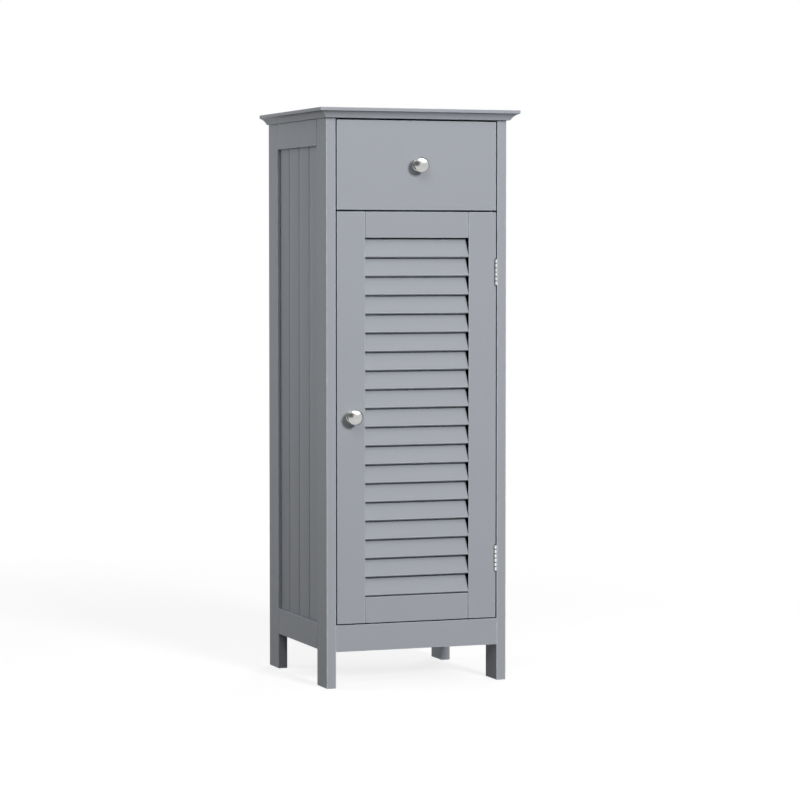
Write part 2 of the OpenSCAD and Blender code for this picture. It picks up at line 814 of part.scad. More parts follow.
module drawer_back() color(paint_inside) difference() {
    translate([box_inner_x, box_back_y, box_z])
        cube([-2 * box_inner_x, drawer_side_t, drawer_box_h]);
    translate([box_inner_x - over, box_back_y - over, bottom_slot_z])
        cube([2 * (over - box_inner_x), bottom_groove + over, bottom_slot_h]);
    both_sides() at_drawer_screws() flat_screw_hole(drawer_screw);
}

module drawer_bottom() color(paint_inside) {
    x = box_inner_x - bottom_tongue;
    y = box_y - bottom_tongue;
    translate([x, y, drawer_bottom_z])
        cube([-2 * x, box_back_y + bottom_tongue - y, drawer_bottom_t]);
}

module drawer_knob() color(nickel)
    translate([0, front_y, drawer_knob_z]) face_front() knob();

// The drawer's cams and bolts, the screws of its back, and its knob's screw
module drawer_fasteners() color(steel) {
    both_sides() {
        at_drawer_cams() {
            cam_lock(small_cam_d, drawer_side_t);
            cam_bolt(small_cam_d, drawer_side_t);
        }
        at_drawer_screws() flat_screw(drawer_screw);
    }
    translate([0, box_y, drawer_knob_z]) face_back() pan_screw(drawer_front_t + knob_bite);
}

// A slat's section: a bar with round edges, its width along X
module slat_section(play) {
    r = slat_edge_r + play;
    w = slat_w + 2 * play;
    t = slat_t + 2 * play;
    square([w - 2 * r, t], center = true);
    square([w, t - 2 * r], center = true);
    for (x = [r - w / 2, w / 2 - r], y = [r - t / 2, t / 2 - r]) translate([x, y]) circle(r = r);
}

// The i-th slat from the top, drawn from x to the right, with its lower edge in front
module slat_bar(i, x, l, play = 0) {
    z = open_z + slat_low + slat_rise / 2 + (slat_count - i) * slat_pitch;
    translate([x, front_y + door_t / 2, z]) rotate([90 - slat_tilt, 0, 0]) rotate([90, 0, 90])
        linear_extrude(height = l) slat_section(play);
}

module slat(i) color(paint) {
    seat = slat_seat - 0.3;
    slat_bar(i, open_x - seat, open_w + 2 * seat);
}

// A door stile on the left, with slots for the slats and mortises for the rails
module stile() {
    mortise = tenon_l + end_slack;
    difference() {
        translate([door_x, front_y, door_z]) cube([stile_w, door_t, door_h]);
        for (i = [1:slat_count]) slat_bar(i, open_x - slat_seat, slat_seat + over, slot_play);
        for (z = [door_z, door_top - door_rail_h])
            translate([open_x - mortise, tenon_y, z + tenon_shy])
                cube([mortise + over, tenon_t, door_rail_h - 2 * tenon_shy]);
    }
}

module door_left_stile() color(paint) difference() {
    stile();
    translate([door_knob_x, front_y + door_t, door_knob_z]) face_back()
        hole(machine_r + 0.2, door_t + over);
}

// The pocket with round corners that clears a hinge's barrel
module hinge_notch() {
    half = hinge_h / 2 + notch_end;
    x = hinge_x - notch_side;
    translate([x + notch_r, -over, -half])
        cube([door_leaf_x - x - notch_r + over, notch_deep + over, 2 * half]);
    translate([x, -over, notch_r - half])
        cube([notch_r + over, notch_deep + over, 2 * (half - notch_r)]);
    for (z = [notch_r - half, half - notch_r])
        translate([x + notch_r, notch_deep, z]) face_front()
            cylinder(r = notch_r, h = notch_deep + over);
}

module door_right_stile() color(paint) difference() {
    on_side(1) stile();
    for (z = hinge_zs) translate([0, front_y, z]) hinge_notch();
    at_hinge_screws(door_leaf_x + leaf_t) face_right() flat_screw_hole(door_hinge_screw);
}

// A door rail whose lower edge is at z, with a tenon and a fine line at each end
module door_rail(z) {
    difference() {
        translate([open_x, front_y, z]) cube([open_w, door_t, door_rail_h]);
        for (x = [open_x - over, open_x + open_w - joint_w])
            translate([x, front_y - over, z - over])
                cube([joint_w + over, joint_deep + over, door_rail_h + 2 * over]);
    }
    translate([open_x - tenon_l, tenon_y, z + tenon_shy])
        cube([open_w + 2 * tenon_l, tenon_t, door_rail_h - 2 * tenon_shy]);
}

module door_bottom_rail() color(paint) door_rail(door_z);

module door_top_rail() color(paint) difference() {
    door_rail(door_top - door_rail_h);
    at_strike_screw() flat_screw_hole(strike_screw);
}

module door_knob() color(nickel)
    translate([door_knob_x, front_y, door_knob_z]) face_front() knob();

// The screws of the hinges' door leaves, of the strike plate and of the knob
module door_screws() color(steel) {
    at_hinge_screws(door_leaf_x + leaf_t) face_right() flat_screw(door_hinge_screw);
    at_strike_screw() flat_screw(strike_screw);
    translate([door_knob_x, front_y + door_t, door_knob_z]) face_back()
        pan_screw(door_t + knob_bite);
}

top_board();
left_front_leg();
left_back_leg();
right_front_leg();
right_back_leg();
left_top_rail();
left_bottom_rail();
right_top_rail();
right_bottom_rail();
left_side_panel();
right_side_panel();
front_apron();
bottom_board();
divider_board();
back_panel();
shelf();
shelf_pins();
drawer_runners();
frame_dowels();
cam_locks();
cam_bolts();
carcass_screws();
hinge_frame_leaves();
hinge_pins();
catch_housing();
catch_magnet();
drawer_front();
drawer_left_side();
drawer_right_side();
drawer_back();
drawer_bottom();
drawer_knob();
drawer_fasteners();
door_left_stile();
door_right_stile();
door_top_rail();
door_bottom_rail();
door_knob();
hinge_door_leaves();
strike_plate();
door_screws();
for (i = [1:slat_count]) slat(i);
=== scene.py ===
import math

import bmesh
import bpy
from mathutils import Matrix, Vector


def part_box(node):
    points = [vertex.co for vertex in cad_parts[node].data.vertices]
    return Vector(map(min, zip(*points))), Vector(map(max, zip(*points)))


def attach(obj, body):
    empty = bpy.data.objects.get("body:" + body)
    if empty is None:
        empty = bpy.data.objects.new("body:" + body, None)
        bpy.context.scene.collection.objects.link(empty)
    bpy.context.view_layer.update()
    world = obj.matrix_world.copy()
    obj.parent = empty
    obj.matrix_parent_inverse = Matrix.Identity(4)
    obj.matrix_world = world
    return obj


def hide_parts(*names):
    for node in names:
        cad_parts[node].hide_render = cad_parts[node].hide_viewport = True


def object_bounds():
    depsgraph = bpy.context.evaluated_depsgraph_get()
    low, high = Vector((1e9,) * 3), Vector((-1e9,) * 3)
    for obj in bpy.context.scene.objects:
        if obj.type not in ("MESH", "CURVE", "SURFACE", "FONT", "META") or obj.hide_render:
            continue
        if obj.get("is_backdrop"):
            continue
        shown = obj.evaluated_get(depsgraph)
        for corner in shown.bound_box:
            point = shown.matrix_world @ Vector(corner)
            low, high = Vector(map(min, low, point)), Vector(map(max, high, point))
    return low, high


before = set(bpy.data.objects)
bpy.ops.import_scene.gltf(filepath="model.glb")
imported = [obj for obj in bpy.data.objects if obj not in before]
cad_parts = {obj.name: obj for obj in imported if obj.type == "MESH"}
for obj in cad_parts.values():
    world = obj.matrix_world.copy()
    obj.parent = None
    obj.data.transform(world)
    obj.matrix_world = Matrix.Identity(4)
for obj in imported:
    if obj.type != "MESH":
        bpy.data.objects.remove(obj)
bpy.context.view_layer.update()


# Legs: four planks of fibreboard that stand on the floor and reach the top board. They are
# sawn to length, bored on the inner faces, grooved for the side panels and the back panel,
# eased along their edges with a sanding block and sprayed with a satin grey paint.
leg_ease = 0.0011
paint_grey = (0.366, 0.386, 0.418)


def sprayed_paint(name, colour, roughness=0.5, edge_highlight=0.6):
    """Satin paint: a faint cloud in the colour, orange peel, and a painted highlight on the
    arrises.
    """
    finish = bpy.data.materials.new(name)
    finish.use_nodes = True
    nodes, links = finish.node_tree.nodes, finish.node_tree.links
    shader = nodes["Principled BSDF"]
    place = nodes.new("ShaderNodeTexCoord")

    def noise(scale, detail):
        pattern = nodes.new("ShaderNodeTexNoise")
        pattern.inputs["Scale"].default_value = scale
        pattern.inputs["Detail"].default_value = detail
        links.new(place.outputs["Object"], pattern.inputs["Vector"])
        return pattern.outputs["Fac"]

    def blend(share, low, high):
        mix = nodes.new("ShaderNodeMix")
        mix.data_type = "RGBA"
        links.new(share, mix.inputs["Factor"])
        for socket, value in (("A", low), ("B", high)):
            if isinstance(value, tuple):
                mix.inputs[socket].default_value = (*value, 1)
            else:
                links.new(value, mix.inputs[socket])
        return mix.outputs["Result"]

    def spread(share, low, high):
        reach = nodes.new("ShaderNodeMapRange")
        reach.inputs["From Min"].default_value = 0.3
        reach.inputs["From Max"].default_value = 0.7
        reach.inputs["To Min"].default_value = low
        reach.inputs["To Max"].default_value = high
        links.new(share, reach.inputs["Value"])
        return reach.outputs["Result"]

    def tone(factor):
        return tuple(min(1, c * factor) for c in colour)

    cloud = blend(spread(noise(scale=9, detail=3), 0, 1), tone(0.985), tone(1.015))
    speck = blend(spread(noise(scale=420, detail=4), 0, 1), tone(0.975), cloud)
    # The arris faces are painted lighter, in patches of a noise: a painted highlight along the
    # edges.
    arris = nodes.new("ShaderNodeAttribute")
    arris.attribute_name = "arris"
    highlight_share = nodes.new("ShaderNodeMath")
    highlight_share.operation = "MULTIPLY"
    links.new(arris.outputs["Fac"], highlight_share.inputs[0])
    links.new(spread(noise(scale=55, detail=2), 0.4, 1), highlight_share.inputs[1])
    links.new(blend(highlight_share.outputs["Value"], speck, tone(1 + edge_highlight)), shader.inputs["Base Color"])
    sheen = spread(noise(scale=70, detail=3), roughness - 0.03, roughness + 0.04)
    links.new(sheen, shader.inputs["Roughness"])
    shader.inputs["Specular IOR Level"].default_value = 0.15
    peel = nodes.new("ShaderNodeBump")
    peel.inputs["Strength"].default_value = 0.35
    peel.inputs["Distance"].default_value = 0.00004
    links.new(noise(scale=650, detail=2), peel.inputs["Height"])
    links.new(peel.outputs["Normal"], shader.inputs["Normal"])
    return finish


def board_of(node, touching=1e-6, flat=0.004):
    """The node's own solid with its borings and grooves, as one closed mesh of flat faces."""
    board = bmesh.new()
    board.from_mesh(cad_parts[node].data)
    bmesh.ops.remove_doubles(board, verts=board.verts, dist=touching)
    bmesh.ops.dissolve_limit(board, angle_limit=flat, verts=board.verts, edges=board.edges)
    return board


def round_over(board, edges, width, rounds, highlight_weight=1):
    """Rounds the given edges and marks the new faces as arrises, where a painted highlight goes.
    """
    cut = bmesh.ops.bevel(
        board,
        geom=edges,
        affect="EDGES",
        offset=width,
        segments=rounds,
        profile=0.5,
        material=-1,
    )
    arris = board.faces.layers.float["arris"]
    for face in cut["faces"]:
        face[arris] = highlight_weight


def ease(board, width, shortest=0.012, rounds=3, least_turn=1.2):
    """Rounds the long outer edges of a board."""
    board.faces.layers.float.new("arris")
    edges = [
        e
        for e in board.edges
        if len(e.link_faces) == 2
        and e.calc_length() > shortest
        and e.is_convex
        and e.calc_face_angle() > least_turn
    ]
    round_over(board, edges, width, rounds)
    return board


def fit(name, board, finish, body, slot, *nodes, crease=math.radians(38)):
    """Puts a finished shape in the cabinet in place of its nodes."""
    shape = bpy.data.meshes.new(name)
    board.to_mesh(shape)
    board.free()
    shape.shade_smooth()
    shape.set_sharp_from_angle(angle=crease)
    shape.materials.append(finish)
    piece = bpy.data.objects.new(name, shape)
    bpy.context.scene.collection.objects.link(piece)
    flats = piece.modifiers.new("flats", "WEIGHTED_NORMAL")
    flats.keep_sharp = True
    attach(piece, body)
    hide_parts(*nodes)


leg_paint = sprayed_paint("leg_paint", paint_grey)
for leg in ("left_front_leg", "left_back_leg", "right_front_leg", "right_back_leg"):
    fit(leg + "_plank", ease(board_of(leg), leg_ease), leg_paint, "root", "painted_wood", leg)


# Side rails: short planks between the legs, at the top and at the bottom of each side.
# They are fibreboard with stub tenons and a groove for the panel, glued between the legs.
# A fine cut in the outer face at each end shows as a line at the joint.
rail_ease = 0.0005
rail_paint = sprayed_paint("rail_paint", paint_grey)
for rail in ("left_top_rail", "left_bottom_rail", "right_top_rail", "right_bottom_rail"):
    fit(rail + "_plank", ease(board_of(rail), rail_ease), rail_paint, "root", "painted_wood", rail)


# Side panels: thin fibreboard held loose in the grooves of the legs and rails. Three
# V-grooves run down each one to look like tongued boards. They are cut before spraying,
# and the thin board takes the paint a little darker and duller than the frame.
panel_ease = 0.0003
thin_board_grey = tuple(c * 0.97 for c in paint_grey)
panel_paint = sprayed_paint("panel_paint", thin_board_grey, roughness=0.55)
for panel in ("left_side_panel", "right_side_panel"):
    sheet = ease(board_of(panel), panel_ease, rounds=2)
    fit(panel + "_sheet", sheet, panel_paint, "root", "painted_wood", panel)


# Front apron and bottom board: the apron is a plank on dowels between the front legs, and
# the bottom board is a fibreboard shelf bolted to all four legs behind it. Both are
# painted as the legs are, and the board's upper face is the floor of the cupboard.
apron_paint = sprayed_paint("apron_paint", paint_grey)
for part in ("front_apron", "bottom_board"):
    plank = ease(board_of(part), rail_ease)
    fit(part + "_plank", plank, apron_paint, "root", "painted_wood", part)


# Divider board: the fibreboard floor under the drawer, on cams and dowels between the
# legs. The drawer passes over it and the catch is screwed to its underside.
divider_paint = sprayed_paint("divider_paint", paint_grey)
divider = ease(board_of("divider_board"), rail_ease)
fit("divider_board_plank", divider, divider_paint, "root", "painted_wood", "divider_board")


# Back panel: a thin sheet of hardboard in grooves of the back legs. It is painted with a
# thin coat that shows the faint weave that the press leaves.
hardboard_ease = 0.0003


def thin_coat(name, colour):
    """A thin coat of paint over hardboard, with the press's weave in relief."""
    finish = sprayed_paint(name, colour, edge_highlight=0)
    nodes, links = finish.node_tree.nodes, finish.node_tree.links
    place = next(n for n in nodes if n.bl_idname == "ShaderNodeTexCoord")
    shader = nodes["Principled BSDF"]
    peel = next(n for n in nodes if n.bl_idname == "ShaderNodeBump")
    crossed = nodes.new("ShaderNodeMath")
    crossed.operation = "MULTIPLY"
    for i, axis in enumerate(("X", "Z")):
        thread = nodes.new("ShaderNodeTexWave")
        thread.bands_direction = axis
        thread.inputs["Scale"].default_value = 150
        thread.inputs["Distortion"].default_value = 1.5
        thread.inputs["Detail Scale"].default_value = 3
        links.new(place.outputs["Object"], thread.inputs["Vector"])
        links.new(thread.outputs["Fac"], crossed.inputs[i])
    weave = nodes.new("ShaderNodeBump")
    weave.inputs["Strength"].default_value = 0.4
    weave.inputs["Distance"].default_value = 0.0001
    links.new(crossed.outputs["Value"], weave.inputs["Height"])
    links.new(peel.outputs["Normal"], weave.inputs["Normal"])
    links.new(weave.outputs["Normal"], shader.inputs["Normal"])
    return finish


back_coat = thin_coat("back_coat", thin_board_grey)
back_sheet = ease(board_of("back_panel"), hardboard_ease, rounds=2)
fit("back_panel_sheet", back_sheet, back_coat, "root", "painted_hardboard", "back_panel")


# Shelf: a loose fibreboard shelf, painted all round, that lies on four turned steel pins
# pushed into the legs. The pins are plated, with a short peg under the board.
shelf_paint = sprayed_paint("shelf_paint", paint_grey)
shelf_plank = ease(board_of("shelf"), rail_ease)
fit("shelf_plank", shelf_plank, shelf_paint, "root", "painted_wood", "shelf")

shank_r = 0.0025
shank_point_r = shank_r * 0.7
point_h = 0.0006
peg_r = 0.003
peg_foot_round = 0.0003
peg_end_round = 0.0006
peg_end_corner = 0.0002
pin_bite = 0.009
pin_peg = 0.008


def turned(board, outline, place, steps=32):
    """Spins an outline of (radius, height) pairs round its axis and puts it at a place."""
    start = len(board.verts)
    line = [board.verts.new((r, 0, z)) for r, z in outline]
    edges = [board.edges.new(pair) for pair in zip(line, line[1:])]
    bmesh.ops.spin(
        board,
        geom=line + edges,
        cent=(0, 0, 0),
        axis=(0, 0, 1),
        angle=math.tau,
        steps=steps,
        use_merge=True,
    )
    bmesh.ops.transform(board, matrix=place, verts=board.verts[start:])


def close_turned(board, touching=1e-6):
    """Merges the poles of turned shapes and points their faces outwards."""
    bmesh.ops.remove_doubles(board, verts=board.verts, dist=touching)
    bmesh.ops.recalc_face_normals(board, faces=board.faces)
    return board


def plated(name, colour, roughness, scratch=0.05, metal=1.0):
    """Plated metal: fine scuffs in the roughness and a little unevenness in the relief."""
    finish = bpy.data.materials.new(name)
    finish.use_nodes = True
    nodes, links = finish.node_tree.nodes, finish.node_tree.links
    shader = nodes["Principled BSDF"]
    shader.inputs["Metallic"].default_value = metal
    place = nodes.new("ShaderNodeTexCoord")
    scuff = nodes.new("ShaderNodeTexNoise")
    scuff.inputs["Scale"].default_value = 900
    scuff.inputs["Detail"].default_value = 5
    links.new(place.outputs["Object"], scuff.inputs["Vector"])
    tarnish = nodes.new("ShaderNodeTexNoise")
    tarnish.inputs["Scale"].default_value = 160
    tarnish.inputs["Detail"].default_value = 3
    links.new(place.outputs["Object"], tarnish.inputs["Vector"])
    tint = nodes.new("ShaderNodeMix")
    tint.data_type = "RGBA"
    tint.inputs["A"].default_value = (*(c * 0.94 for c in colour), 1)
    tint.inputs["B"].default_value = (*(min(1, c * 1.04) for c in colour), 1)
    links.new(tarnish.outputs["Fac"], tint.inputs["Factor"])
    links.new(tint.outputs["Result"], shader.inputs["Base Color"])
    sheen = nodes.new("ShaderNodeMapRange")
    sheen.inputs["To Min"].default_value = max(0, roughness - scratch)
    sheen.inputs["To Max"].default_value = roughness + scratch
    links.new(scuff.outputs["Fac"], sheen.inputs["Value"])
    links.new(sheen.outputs["Result"], shader.inputs["Roughness"])
    relief = nodes.new("ShaderNodeBump")
    relief.inputs["Strength"].default_value = 0.15
    relief.inputs["Distance"].default_value = 0.00002
    links.new(scuff.outputs["Fac"], relief.inputs["Height"])
    links.new(relief.outputs["Normal"], shader.inputs["Normal"])
    return finish


pin_outline = [
    (0, -pin_bite),
    (shank_point_r, -pin_bite),
    (shank_r, -pin_bite + point_h),
    (shank_r, 0),
    (peg_r - peg_foot_round, 0),
    (peg_r, peg_foot_round),
    (peg_r, pin_peg - peg_end_round),
    (peg_r - peg_end_corner, pin_peg - peg_end_corner),
    (peg_r - peg_end_round, pin_peg),
    (0, pin_peg),
]
pins = bmesh.new()
pins_low, pins_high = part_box("shelf_pins")
pin_z = (pins_low.z + pins_high.z) / 2
inner_face = -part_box("front_apron")[0].x
for side in (-1, 1):
    for y in (pins_low.y + peg_r, pins_high.y - peg_r):
        turn = Matrix.Rotation(-side * math.pi / 2, 4, "Y")
        turned(pins, pin_outline, Matrix.Translation((side * inner_face, y, pin_z)) @ turn)
pin_steel = plated("pin_steel", (0.62, 0.63, 0.64), roughness=0.28)
fit("shelf_pins_turned", close_turned(pins), pin_steel, "root", "zinc_steel", "shelf_pins")


# Top board: one fibreboard slab, dowelled and bolted down on the legs and rails. A router
# runs a cove under its front and side edges, which meet in mitres, and the flat edge above
# the cove is sanded and sprayed with the top.
top_low, top_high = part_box("top_board")
edge_flat = 0.005
cove_r = 0.018
cove_height = 0.010
cove_width = 0.012
cove_steps = 12
top_ease = 0.0007
front_edge_length = 0.1
level_play = 1e-5
chord = math.hypot(cove_width, cove_height)
chord_to_axis = math.sqrt(cove_r**2 - chord**2 / 4)
axis_out = cove_height / chord * chord_to_axis - cove_width / 2
axis_down = cove_width / chord * chord_to_axis - cove_height / 2
cove_start = math.atan2(cove_height + axis_down, -axis_out)
cove_end = math.atan2(axis_down, -axis_out - cove_width)

top = bmesh.new()
bmesh.ops.create_cube(top, size=1)
slab_size = (top_high.x - top_low.x, top_high.y - top_low.y, edge_flat)
bmesh.ops.scale(top, vec=slab_size, verts=top.verts)
middle = (top_low + top_high) / 2
bmesh.ops.translate(top, vec=(middle.x, middle.y, top_high.z - edge_flat / 2), verts=top.verts)
under = min(top.faces, key=lambda f: f.calc_center_median().z)
for step in range(1, cove_steps + 1):
    angle = cove_start + (cove_end - cove_start) * step / cove_steps
    inset = -(axis_out + cove_r * math.cos(angle))
    height = top_low.z - axis_down + cove_r * math.sin(angle)
    grown = bmesh.ops.extrude_face_region(top, geom=[under])["geom"]
    under = next(g for g in grown if isinstance(g, bmesh.types.BMFace))
    for corner in under.verts:
        corner.co.x = math.copysign(top_high.x - inset, corner.co.x)
        if corner.co.y < middle.y:
            corner.co.y = top_low.y + inset
        corner.co.z = height
bmesh.ops.recalc_face_normals(top, faces=top.faces)
top.faces.layers.float.new("arris")
rim = [
    e
    for e in top.edges
    if min(v.co.z for v in e.verts) > top_high.z - edge_flat - level_play
    or (
        e.calc_length() > front_edge_length
        and max(v.co.z for v in e.verts) < top_low.z + level_play
    )
]
round_over(top, rim, top_ease, rounds=3)
top_paint = sprayed_paint("top_paint", paint_grey, roughness=0.46)
fit("top_board_slab", top, top_paint, "root", "painted_wood", "top_board")


# Frame dowels: plain round beech pegs, glued into bored holes. They join the boards and the
# apron to the legs, the legs to the top board, and the apron to the bottom board.
def beech_grain(name):
    """Beech: long pores and short flecks in a pale pinkish brown."""
    finish = bpy.data.materials.new(name)
    finish.use_nodes = True
    nodes, links = finish.node_tree.nodes, finish.node_tree.links
    shader = nodes["Principled BSDF"]
    shader.inputs["Specular IOR Level"].default_value = 0.3
    place = nodes.new("ShaderNodeTexCoord")
    rings = nodes.new("ShaderNodeTexWave")
    rings.inputs["Scale"].default_value = 110
    rings.inputs["Distortion"].default_value = 6
    rings.inputs["Detail"].default_value = 3
    links.new(place.outputs["Object"], rings.inputs["Vector"])
    fleck = nodes.new("ShaderNodeTexNoise")
    fleck.inputs["Scale"].default_value = 1200
    fleck.inputs["Detail"].default_value = 4
    links.new(place.outputs["Object"], fleck.inputs["Vector"])
    grain = nodes.new("ShaderNodeMix")
    grain.data_type = "RGBA"
    grain.inputs["A"].default_value = (0.50, 0.33, 0.19, 1)
    grain.inputs["B"].default_value = (0.62, 0.44, 0.28, 1)
    links.new(rings.outputs["Fac"], grain.inputs["Factor"])
    links.new(grain.outputs["Result"], shader.inputs["Base Color"])
    dull = nodes.new("ShaderNodeMapRange")
    dull.inputs["To Min"].default_value = 0.55
    dull.inputs["To Max"].default_value = 0.75
    links.new(fleck.outputs["Fac"], dull.inputs["Value"])
    links.new(dull.outputs["Result"], shader.inputs["Roughness"])
    relief = nodes.new("ShaderNodeBump")
    relief.inputs["Strength"].default_value = 0.3
    relief.inputs["Distance"].default_value = 0.00005
    links.new(fleck.outputs["Fac"], relief.inputs["Height"])
    links.new(relief.outputs["Normal"], shader.inputs["Normal"])
    return finish


def coat(node, finish):
    """Gives a node that keeps its own shape its finish."""
    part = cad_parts[node]
    part.material_slots[0].material = finish


coat("frame_dowels", beech_grain("dowel_beech"))


# Cams and bolts: die-cast zinc cams that a quarter turn draws tight on the heads of
# plated bolts. They sit flush in pockets that are bored in the undersides of the boards
# and in the inner faces of the top rails.
cast_zinc = plated("cast_zinc", (0.42, 0.43, 0.45), roughness=0.42, scratch=0.08)
coat("cam_locks", cast_zinc)
bolt_steel = plated("bolt_steel", (0.56, 0.57, 0.58), roughness=0.32)
coat("cam_bolts", bolt_steel)


# Drawer runners: two moulded plastic strips, screwed to the inner faces of the legs, on
# which the slots in the drawer's sides slide.
runner_ease = 0.0005


def moulded(name, colour, roughness=0.36):
    """Moulded plastic: a fine spark-eroded grain and faint flow marks."""
    finish = bpy.data.materials.new(name)
    finish.use_nodes = True
    nodes, links = finish.node_tree.nodes, finish.node_tree.links
    shader = nodes["Principled BSDF"]
    place = nodes.new("ShaderNodeTexCoord")
    flow = nodes.new("ShaderNodeTexNoise")
    flow.inputs["Scale"].default_value = 45
    flow.inputs["Detail"].default_value = 2
    flow.inputs["Distortion"].default_value = 1.5
    links.new(place.outputs["Object"], flow.inputs["Vector"])
    tint = nodes.new("ShaderNodeMix")
    tint.data_type = "RGBA"
    tint.inputs["A"].default_value = (*(c * 0.95 for c in colour), 1)
    tint.inputs["B"].default_value = (*(min(1, c * 1.03) for c in colour), 1)
    links.new(flow.outputs["Fac"], tint.inputs["Factor"])
    links.new(tint.outputs["Result"], shader.inputs["Base Color"])
    grain = nodes.new("ShaderNodeTexNoise")
    grain.inputs["Scale"].default_value = 2200
    grain.inputs["Detail"].default_value = 2
    links.new(place.outputs["Object"], grain.inputs["Vector"])
    sheen = nodes.new("ShaderNodeMapRange")
    sheen.inputs["To Min"].default_value = roughness - 0.06
    sheen.inputs["To Max"].default_value = roughness + 0.08
    links.new(grain.outputs["Fac"], sheen.inputs["Value"])
    links.new(sheen.outputs["Result"], shader.inputs["Roughness"])
    relief = nodes.new("ShaderNodeBump")
    relief.inputs["Strength"].default_value = 0.25
    relief.inputs["Distance"].default_value = 0.00003
    links.new(grain.outputs["Fac"], relief.inputs["Height"])
    links.new(relief.outputs["Normal"], shader.inputs["Normal"])
    return finish


runner_white = moulded("runner_white", (0.78, 0.78, 0.75))
runners = ease(board_of("drawer_runners"), runner_ease)
fit("drawer_runners_moulded", runners, runner_white, "root", "white_plastic", "drawer_runners")


# Frame screws: zinc-plated steel screws with cross recesses that hold the runners, the
# hinges' fixed leaves and the catch.
screw_zinc = plated("screw_zinc", (0.60, 0.61, 0.63), roughness=0.26)
coat("carcass_screws", screw_zinc)


# Hinges, fixed leaves and pins: two small butt hinges of nickel-plated steel, let in between the
# door and the right leg. The leaves are pressed and their knuckles rolled round a drawn steel pin,
# with a low domed head at each end. The pin is coloured near black, which paints the shade in the
# pocket round each barrel.
leaf_ease = 0.00012
hinge_nickel = plated("hinge_nickel", (0.86, 0.86, 0.85), roughness=0.2)


def pressed_leaves(node, body):
    """Eases the pressed leaves and fits them."""
    leaves = ease(board_of(node), leaf_ease, shortest=0.004, rounds=2)
    fit(node + "_pressed", leaves, hinge_nickel, body, "nickel", node)


pressed_leaves("hinge_frame_leaves", "root")
hinge_low, hinge_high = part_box("hinge_pins")
pin_head_r = (hinge_high.x - hinge_low.x) / 2
pin_head_h = 0.0006
pin_r = 0.0011
hinge_length = 0.040
pin_dome = [(0, 1), (0.6, 0.85), (0.9, 0.45), (1, 0.1), (1, 0)]
low_head = [(pin_head_r * r, -pin_head_h * h) for r, h in pin_dome]
high_head = [(pin_head_r * r, hinge_length + pin_head_h * h) for r, h in reversed(pin_dome)]
hinge_outline = low_head + [(pin_r, 0), (pin_r, hinge_length)] + high_head
hinge_centre = (hinge_low + hinge_high) / 2
hinge_pins = bmesh.new()
for foot in (hinge_low.z + pin_head_h, hinge_high.z - pin_head_h - hinge_length):
    pin_place = Matrix.Translation((hinge_centre.x, hinge_centre.y, foot))
    turned(hinge_pins, hinge_outline, pin_place, steps=24)
# The pins' near-black colour is painted shade for the hinge pockets.
hinge_pin_shade = plated("hinge_pin_steel", (0.12, 0.12, 0.12), roughness=0.38)
fit("hinge_pins_drawn", close_turned(hinge_pins), hinge_pin_shade, "root", "zinc_steel", "hinge_pins")


# Catch: a moulded housing of white plastic, screwed up under the divider, with a small
# ferrite magnet in its open front that holds the door's plate.
catch_ease = 0.0005
catch_white = moulded("catch_white", (0.76, 0.76, 0.73), roughness=0.4)
housing = ease(board_of("catch_housing"), catch_ease, shortest=0.008)
fit("catch_housing_moulded", housing, catch_white, "root", "white_plastic", "catch_housing")
ferrite = plated("ferrite", (0.06, 0.06, 0.065), roughness=0.5, scratch=0.1, metal=0.4)
coat("catch_magnet", ferrite)


# Drawer box: two sides and a back of thin board with a printed grey face, screwed and
# cammed together, round a thin hardboard bottom that slides in their grooves.
box_ease = 0.0006
# The box's arrises get only a faint painted highlight.
box_board = sprayed_paint("box_board", (0.40, 0.42, 0.45), roughness=0.46, edge_highlight=0.06)
for side in ("drawer_left_side", "drawer_right_side", "drawer_back"):
    fit(side + "_board", ease(board_of(side), box_ease), box_board, "drawer", "drawer_board", side)
bottom_coat = thin_coat("bottom_coat", (0.38, 0.40, 0.43))
sheet = ease(board_of("drawer_bottom"), hardboard_ease, rounds=2)
fit("drawer_bottom_sheet", sheet, bottom_coat, "drawer", "painted_hardboard", "drawer_bottom")


# Drawer front: a plain slab of fibreboard, painted all round, that the sides' bolts pull
# on from behind. It lies flush with the legs, and a thin gap runs round it.
front_ease = 0.0007
front_paint = sprayed_paint("front_paint", paint_grey)
front_slab = ease(board_of("drawer_front"), front_ease)
fit("drawer_front_slab", front_slab, front_paint, "drawer", "painted_wood", "drawer_front")


# Drawer knob: a mushroom knob turned from brass and plated in bright nickel, on a foot with
# a round rim, held by one machine screw from behind.
foot_r = 0.009
foot_t = 0.003
foot_chamfer = 0.0004
foot_round = 0.0013
flare_w = 0.0016
flare_h = 0.003
neck_r = 0.0045
head_r = 0.0118
dome_h = 0.0065
under_h = 0.007
rim_over = 0.0002
rim_round = 0.0003
reach = 0.027
bead_steps, flare_steps, under_steps, dome_steps = 6, 8, 12, 16


